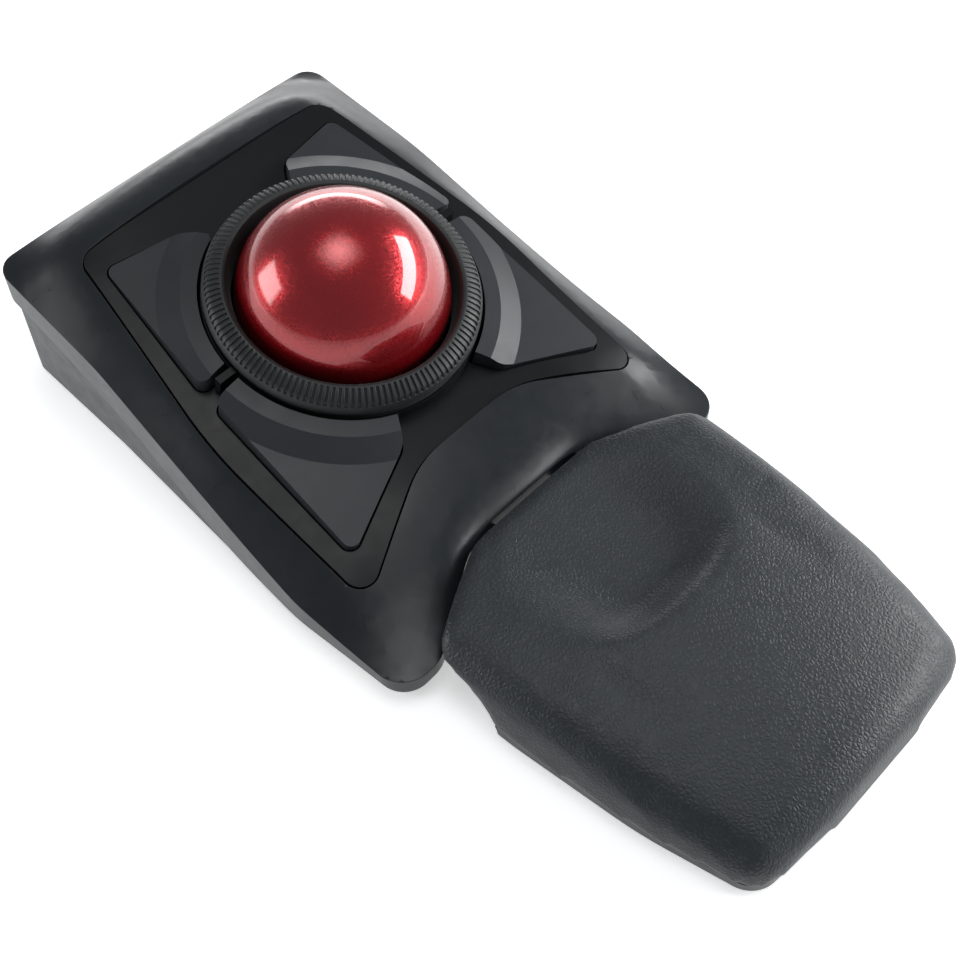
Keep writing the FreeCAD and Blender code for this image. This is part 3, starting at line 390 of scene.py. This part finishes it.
def copy_of(node: str, name: str) -> bpy.types.Object:
    """A merged copy of a CAD node, for finer edges.

    Args:
        node: The CAD node's name.
        name: The new piece's name.

    Returns:
        The copy, which rides on nothing yet.
    """
    piece = bpy.data.objects.new(name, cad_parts[node].data.copy())
    bpy.context.scene.collection.objects.link(piece)
    merge(piece)
    return piece


def finish_modifiers(piece: bpy.types.Object) -> None:
    """Applies a piece's modifiers in order.

    Args:
        piece: The object that has them.
    """
    activate(piece)
    for modifier in list(piece.modifiers):
        bpy.ops.object.modifier_apply(modifier=modifier.name)


def ease_edges(piece: bpy.types.Object, width_mm: float, angle: float = 35.0, segments: int = 2) -> None:
    """Rounds a piece's sharp edges slightly, as a moulding's are, and shades it smooth.

    Args:
        piece: The mesh object.
        width_mm: Width of the rounding.
        angle: Only edges sharper than this, in degrees.
        segments: Faces across the rounding.
    """
    bevel = piece.modifiers.new("edge", "BEVEL")
    bevel.width = width_mm * MM
    bevel.segments = segments
    bevel.limit_method = "ANGLE"
    bevel.angle_limit = math.radians(angle)
    finish_modifiers(piece)
    bpy.ops.object.shade_smooth_by_angle(angle=math.radians(angle))
    even = piece.modifiers.new("even", "WEIGHTED_NORMAL")
    even.keep_sharp = True
    finish_modifiers(piece)


def centre_of(node: str) -> Vector:
    """Middle of a CAD node's box."""
    low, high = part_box(node)
    return (low + high) / 2


@dataclass
class Assembly:
    """A group of pieces that share a maker.

    Attributes:
        finishes: The object's materials.
    """

    finishes: Finishes

    def place(self, piece: bpy.types.Object, body: str, slot: str, *nodes: str) -> None:
        """Finishes a piece: material, body, slot and the CAD nodes it stands for.

        Args:
            piece: The mesh object.
            body: The body it rides on.
            slot: The record's material slot.
            nodes: CAD nodes that it replaces.
        """
        self.finishes.dress(piece, slot)
        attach(piece, body)
        if nodes:
            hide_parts(*nodes)
        LOG.info("%s: %d faces on %s", piece.name, len(piece.data.polygons), body)

    def eased_copy(self, node: str, body: str, slot: str, width_mm: float, angle: float = 35.0) -> None:
        """Replaces a CAD node by a copy with eased edges.

        Args:
            node: The CAD node.
            body: The body it rides on.
            slot: The record's material slot.
            width_mm: Width of the edge rounding.
            angle: Only edges sharper than this, in degrees.
        """
        piece = copy_of(node, node + "_shell")
        ease_edges(piece, width_mm, angle)
        self.place(piece, body, slot, node)


# ---------------------------------------------------------------- ball
@dataclass
class Ball(Assembly):
    """The ball, a true sphere with a clean mesh.

    Attributes:
        cuts: Subdivisions of the cube it starts from.
    """

    cuts: int = 40

    def build(self) -> None:
        """Makes the ball from a cube, which leaves no poles to pinch the reflections."""
        low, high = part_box("trackball")
        radius = (high.x - low.x) / 2
        deselect()
        bpy.ops.mesh.primitive_cube_add(size=2 * radius, location=centre_of("trackball"))
        piece = bpy.context.object
        piece.name = "lacquered_ball"
        bpy.ops.object.mode_set(mode="EDIT")
        bpy.ops.mesh.select_all(action="SELECT")
        bpy.ops.mesh.subdivide(number_cuts=self.cuts)
        bpy.ops.object.mode_set(mode="OBJECT")
        cast = piece.modifiers.new("round", "CAST")
        cast.factor = 1.0
        cast.use_radius_as_size = False
        cast.radius = 0.0
        cast.size = radius
        finish_modifiers(piece)
        bpy.ops.object.shade_smooth()
        seat(piece)
        self.place(piece, "ball", "ball_red", "trackball")


# ---------------------------------------------------------------- scroll ring
@dataclass
class ScrollRing(Assembly):
    """The rubber ring with radial ribs, in the deck's tilted frame.

    Attributes:
        ribs: Ribs round the ring.
        groove_mm: Depth between the ribs.
        section: Radius and height of the ring's section, in millimetres, closed on itself.
        ribbed: First and last section point of the ribbed band.
        edge_mm: Width of the rounding along the ribs.
        edge_angle: Only edges sharper than this are rounded, in degrees.
    """

    ribs: int = 132
    groove_mm: float = 0.42
    section: tuple[tuple[float, float], ...] = (
        (28.2, -2.6), (28.2, 2.0), (28.7, 4.1), (29.25, 5.9), (29.75, 6.75), (30.35, 7.0), (30.9, 7.0),
        (32.2, 6.45), (33.4, 5.75), (34.1, 5.3), (34.5, 4.75), (34.8, 4.1), (35.1, 3.35), (35.38, 2.6),
        (35.38, 1.75), (34.68, 0.75), (34.68, -7.0), (35.68, -7.0), (35.68, -8.7), (30.38, -8.7),
        (30.38, -2.6))
    ribbed: tuple[int, int] = (6, 11)
    edge_mm: float = 0.11
    edge_angle: float = 33.0

    def build(self) -> None:
        """Draws the ring's section round the ball, then sinks a groove beside each rib."""
        centre = centre_of("trackball")
        radius, height = self.section[0]
        deselect()
        bpy.ops.mesh.primitive_circle_add(vertices=2 * self.ribs, radius=radius * MM,
                                          location=(0, 0, height * MM))
        piece = bpy.context.object
        piece.name = "knurled_ring"
        seat(piece)
        bpy.ops.object.mode_set(mode="EDIT")
        bpy.ops.mesh.select_all(action="SELECT")
        for next_radius, next_height in self.section[1:] + self.section[:1]:
            bpy.ops.mesh.extrude_edges_move(
                TRANSFORM_OT_translate={"value": (0, 0, (next_height - height) * MM)})
            factor = next_radius / radius
            bpy.ops.transform.resize(value=(factor, factor, 1), center_override=(0, 0, 0))
            radius, height = next_radius, next_height
        bpy.ops.object.mode_set(mode="OBJECT")
        merge(piece, outward=True)
        self.cut_grooves(piece)
        ease_edges(piece, self.edge_mm, angle=self.edge_angle, segments=1)
        piece.rotation_euler = (DECK_TILT, 0, 0)
        piece.location = centre
        seat(piece)
        self.place(piece, "ring", "ring_rubber", "scroll_ring")

    def cut_grooves(self, piece: bpy.types.Object) -> None:
        """Sinks every other strip of the band.

        Args:
            piece: The plain ring.
        """
        inner, outer = self.section[self.ribbed[0]], self.section[self.ribbed[1]]
        step = math.pi / self.ribs
        activate(piece)
        bpy.ops.object.mode_set(mode="EDIT")
        bpy.ops.mesh.select_mode(type="FACE")
        bpy.ops.mesh.select_all(action="DESELECT")
        bpy.ops.object.mode_set(mode="OBJECT")
        for face in piece.data.polygons:
            middle = face.center / MM
            radius = math.hypot(middle.x, middle.y)
            on_band = inner[0] < radius < outer[0] and middle.z > outer[1]
            strip = int((math.atan2(middle.y, middle.x) + 2 * math.pi) / step)
            face.select = on_band and strip % 2 == 0
        bpy.ops.object.mode_set(mode="EDIT")
        bpy.ops.mesh.extrude_region_shrink_fatten(
            TRANSFORM_OT_shrink_fatten={"value": -self.groove_mm * MM})
        bpy.ops.mesh.select_mode(type="VERT")
        bpy.ops.object.mode_set(mode="OBJECT")


# ---------------------------------------------------------------- case, deck and keys
@dataclass
class Case(Assembly):
    """The moulded shells, the deck, the four buttons and what shows underneath."""

    def build(self) -> None:
        """Eases the edges of every shell that shows."""
        self.eased_copy("upper_case", "case", "case_plastic", 0.3, 30.0)
        self.eased_copy("button_deck", "case", "deck_gloss", 0.12, 14.0)
        self.eased_copy("base_shell", "case", "base_plastic", 0.25)
        self.eased_copy("case_feet", "case", "foot_rubber", 0.25)
        self.eased_copy("battery_door", "door", "base_plastic", 0.2)
        self.eased_copy("power_switch", "power_slider", "slider_grey", 0.15)
        self.eased_copy("connect_button", "connect_key", "slider_grey", 0.15)
        for side in ("right", "left"):
            for end in ("rear", "front"):
                name = f"{side}_{end}"
                self.eased_copy(f"{name}_button", f"{name}_key", "button_plastic", 0.35, 13.0)

    def dress_inside(self) -> None:
        """Gives the CAD nodes that stay as they are their finishes."""
        inside = {
            "ball_cup": "cup_plastic", "support_bearings": "bearing_ceramic", "encoder_ring": "cup_plastic",
            "encoder_sensor": "sensor_black", "sensor_lens": "lens_clear", "optical_sensor": "sensor_black",
            "sensor_board": "circuit_board", "button_switches": "sensor_black",
            "switch_boards": "circuit_board", "battery_cells": "cell_wrap",
            "battery_contacts": "contact_nickel", "usb_receiver": "sensor_black",
            "case_screws": "screw_steel", "main_board": "circuit_board", "radio_module": "contact_nickel",
            "board_chips": "sensor_black"}
        for node, slot in inside.items():
            self.finishes.dress(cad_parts[node], slot)
            LOG.info("%s: kept from the CAD, %s", node, slot)


# ---------------------------------------------------------------- wrist rest
@dataclass
class WristRest(Assembly):
    """The padded rest on its moulded tray.

    Attributes:
        voxel_mm: Cell of the remesh that the cloth runs on.
        slack_mm: How much smaller the pad starts than its solid.
        swell_mm: Furthest that the filling may push a point.
        held_mm: Height over the tray that is glued down.
        free_mm: Further height over which the skin comes free.
        frames: Length of the simulation.
        pressure: Push of the filling from inside.
        stretch: Stiffness of the skin against stretching and squeezing.
        bend: Stiffness of the skin against bending.
    """

    voxel_mm: float = 1.8
    slack_mm: float = 0.3
    swell_mm: float = 0.7
    held_mm: float = 0.6
    free_mm: float = 5.0
    frames: int = 20
    pressure: float = 4.0
    stretch: float = 40.0
    bend: float = 4.0

    def build(self) -> None:
        """Makes the pad, its tray and feet."""
        self.build_pad()
        self.eased_copy("wrist_rest_base", "wrist_rest", "base_plastic", 0.3)
        self.eased_copy("wrist_rest_feet", "wrist_rest", "foot_rubber", 0.3)

    def build_pad(self) -> None:
        """Fills the pad: an even mesh, blown up slightly against its skin, then smoothed."""
        piece = copy_of("wrist_rest_pad", "leatherette_pad")
        remesh = piece.modifiers.new("even", "REMESH")
        remesh.mode = "VOXEL"
        remesh.voxel_size = self.voxel_mm * MM
        finish_modifiers(piece)
        ease = piece.modifiers.new("soften", "SMOOTH")
        ease.factor = 0.5
        ease.iterations = 1
        finish_modifiers(piece)
        self.fill(piece)
        finer = piece.modifiers.new("skin", "SUBSURF")
        finer.levels = 1
        finer.render_levels = 1
        finish_modifiers(piece)
        bpy.ops.object.shade_smooth()
        self.place(piece, "wrist_rest", "rest_leather", "wrist_rest_pad")

    def foot_height(self) -> float:
        """Height of the tray's rim, where the leatherette is glued down."""
        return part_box("wrist_rest_base")[1].z

    def fill(self, piece: bpy.types.Object) -> None:
        """Runs the cloth on the pad and keeps its swelling within bounds.

        Args:
            piece: The evenly meshed pad.
        """
        foot = self.foot_height()
        free = [min(1.0, max(0.0, vertex.co.z - foot - self.held_mm * MM) / (self.free_mm * MM))
                for vertex in piece.data.vertices]
        loose = piece.vertex_groups.new(name="loose")
        held = piece.vertex_groups.new(name="glued")
        for number, weight in enumerate(free):
            (loose if weight else held).add([number], weight or 1.0, "REPLACE")
        slim = piece.modifiers.new("slack", "DISPLACE")
        slim.strength = -self.slack_mm * MM
        slim.mid_level = 0.0
        slim.vertex_group = loose.name
        finish_modifiers(piece)
        before = [vertex.co.copy() for vertex in piece.data.vertices]
        cloth = piece.modifiers.new("cloth", "CLOTH")
        cloth.settings.use_pressure = True
        cloth.settings.uniform_pressure_force = self.pressure
        cloth.settings.tension_stiffness = self.stretch
        cloth.settings.compression_stiffness = self.stretch
        cloth.settings.bending_stiffness = self.bend
        cloth.settings.vertex_group_mass = held.name
        cloth.settings.effector_weights.gravity = 0.0
        cloth.point_cache.frame_start = 1
        cloth.point_cache.frame_end = self.frames
        for step in range(1, self.frames + 1):
            bpy.context.scene.frame_set(step)
        swollen = piece.evaluated_get(bpy.context.evaluated_depsgraph_get()).to_mesh()
        after = [vertex.co.copy() for vertex in swollen.vertices]
        piece.modifiers.remove(cloth)
        limit = self.swell_mm * MM
        for vertex, start, end, weight in zip(piece.data.vertices, before, after, free):
            move = (end - start) * weight
            vertex.co = start + (move if move.length <= limit else move.normalized() * limit)
        piece.vertex_groups.clear()
        bpy.context.scene.frame_set(1)


# ---------------------------------------------------------------- studio
@dataclass(frozen=True)
class Softbox:
    """A flat light whose cloth is brightest in the middle.

    Attributes:
        name: The light's name.
        towards: Direction from the object to the light.
        along: Direction that its width runs in.
        away: Distance in metres.
        size: Width and height in metres.
        radiance: Brightness of its middle.
        edge: Share of its half width over which it fades out.
    """

    name: str
    towards: tuple[float, float, float]
    along: tuple[float, float, float]
    away: float
    size: tuple[float, float]
    radiance: float
    edge: float


@dataclass
class Studio:
    """The pale sweep, the lights and the camera.

    Attributes:
        table_m: Side of the table top in metres.
        table_glow: Light that the table gives off itself, so that it stays pale.
        fibre_mm: Size of the paper's fibres.
        room_glow: Brightness of the room.
        lens_mm: Focal length on a frame 36 mm wide.
        eye: Place of the camera.
        tip: Degrees that the camera is tipped up from looking straight down.
        turn: Degrees that the camera is turned about the vertical.
        boxes: The lights.
    """

    table_m: float = 40.0
    table_glow: float = 0.5
    fibre_mm: float = 1.5
    room_glow: float = 0.32
    lens_mm: float = 55.29
    eye: tuple[float, float, float] = (-0.16285, -0.15227, 0.31284)
    tip: float = 35.89
    turn: float = -46.6
    boxes: tuple[Softbox, ...] = (
        Softbox("overhead_softbox", (0.04, 0.03, 1.0), (1, 0, 0), 1.15, (1.0, 1.0), 4.6, 1.0),
        Softbox("left_softbox", (-0.68, 0.68, 0.28), (0.7, 0.7, 0), 0.9, (0.55, 0.42), 7.0, 0.35),
        Softbox("right_strip", (0.789, -0.515, 0.336), (0.47, 0.857, 0.21), 0.9, (0.95, 0.27), 15.0, 0.12),
        Softbox("far_bank", (0.66, 0.76, 0.10), (0.76, -0.66, 0), 1.2, (1.3, 0.26), 6.0, 0.5),
    )

    def build(self) -> None:
        """Sets the stage."""
        self.sweep()
        for box in self.boxes:
            self.hang(box)
        self.surround()
        self.camera()

    def sweep(self) -> None:
        """A pale table top that reaches past the view, with a sanded paper surface."""
        deselect()
        bpy.ops.mesh.primitive_grid_add(x_subdivisions=8, y_subdivisions=8, size=self.table_m,
                                        location=(0, 0, 0))
        table = bpy.context.object
        table.name = "table"
        material = bpy.data.materials.new("white_paper_sweep")
        material.use_nodes = True
        tree = material.node_tree
        tree.nodes.clear()
        place = add_node(tree, "ShaderNodeTexCoord").outputs["Object"]
        fibres = add_node(tree, "ShaderNodeTexNoise", {"Scale": 1 / (self.fibre_mm * MM), "Detail": 3.0},
                          {"Vector": place})
        tone = add_node(tree, "ShaderNodeMix", {"data_type": "RGBA", 6: linear("#F6F6F6"),
                                                7: linear("#FAFAFA")}, {0: fibres.outputs[0]})
        shader = add_node(tree, "ShaderNodeBsdfPrincipled",
                          {"Roughness": 0.9, "Emission Color": linear("#FFFFFF"),
                           "Emission Strength": self.table_glow},
                          {"Base Color": tone.outputs[2]})
        add_node(tree, "ShaderNodeOutputMaterial", {}, {"Surface": shader.outputs[0]})
        table.data.materials.append(material)

    def hang(self, box: Softbox) -> None:
        """Hangs one light, facing the object.

        Args:
            box: What to hang and where.
        """
        light = bpy.data.lights.new(box.name, "AREA")
        light.shape = "RECTANGLE"
        light.size, light.size_y = box.size
        light.energy = box.radiance * math.pi * box.size[0] * box.size[1]
        light.use_nodes = True
        tree = light.node_tree
        tree.nodes.clear()
        across = add_node(tree, "ShaderNodeNewGeometry").outputs["Parametric"]
        off_middle = add_node(tree, "ShaderNodeVectorMath", {"operation": "SUBTRACT", 1: (0.5, 0.5, 0)},
                              {0: across})
        spread = add_node(tree, "ShaderNodeVectorMath", {"operation": "ABSOLUTE"}, {0: off_middle.outputs[0]})
        parts = add_node(tree, "ShaderNodeSeparateXYZ", {}, {0: spread.outputs[0]})
        fades = [add_node(tree, "ShaderNodeMapRange",
                          {"interpolation_type": "SMOOTHSTEP", "From Min": 0.5,
                           "From Max": 0.5 * (1 - box.edge)},
                          {"Value": parts.outputs[side]}) for side in (0, 1)]
        both = add_node(tree, "ShaderNodeMath", {"operation": "MULTIPLY"},
                        {0: fades[0].outputs[0], 1: fades[1].outputs[0]})
        glow = add_node(tree, "ShaderNodeEmission", {}, {"Strength": both.outputs[0]})
        add_node(tree, "ShaderNodeOutputLight", {}, {"Surface": glow.outputs[0]})
        lamp = bpy.data.objects.new(box.name, light)
        bpy.context.scene.collection.objects.link(lamp)
        back = Vector(box.towards).normalized()
        up = back.cross(Vector(box.along)).normalized()
        lamp.rotation_euler = Matrix((up.cross(back), up, back)).transposed().to_euler()
        lamp.location = centre_of("trackball") + back * box.away

    def surround(self) -> None:
        """The dim even room behind the lights."""
        world = bpy.data.worlds.new("studio")
        world.use_nodes = True
        room = world.node_tree.nodes["Background"]
        room.inputs["Color"].default_value = linear("#E4E8EC")
        room.inputs["Strength"].default_value = self.room_glow
        bpy.context.scene.world = world
        bpy.context.scene.view_settings.view_transform = "Standard"

    def camera(self) -> None:
        """A normal lens from the user's left, high over the wrist rest."""
        lens = bpy.data.cameras.new("camera")
        lens.lens = self.lens_mm
        lens.sensor_width = 36.0
        lens.clip_start = 0.01
        eye = bpy.data.objects.new("camera", lens)
        bpy.context.scene.collection.objects.link(eye)
        eye.location = self.eye
        eye.rotation_euler = (math.radians(self.tip), 0, math.radians(self.turn))
        bpy.context.scene.camera = eye


def main() -> None:
    """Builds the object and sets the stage."""
    logging.basicConfig(level=logging.INFO, format="%(name)s %(message)s")
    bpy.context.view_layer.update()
    finishes = Finishes()
    Ball(finishes).build()
    ScrollRing(finishes).build()
    case = Case(finishes)
    case.build()
    case.dress_inside()
    WristRest(finishes).build()
    Studio().build()


if __name__ == "__main__":
    main()
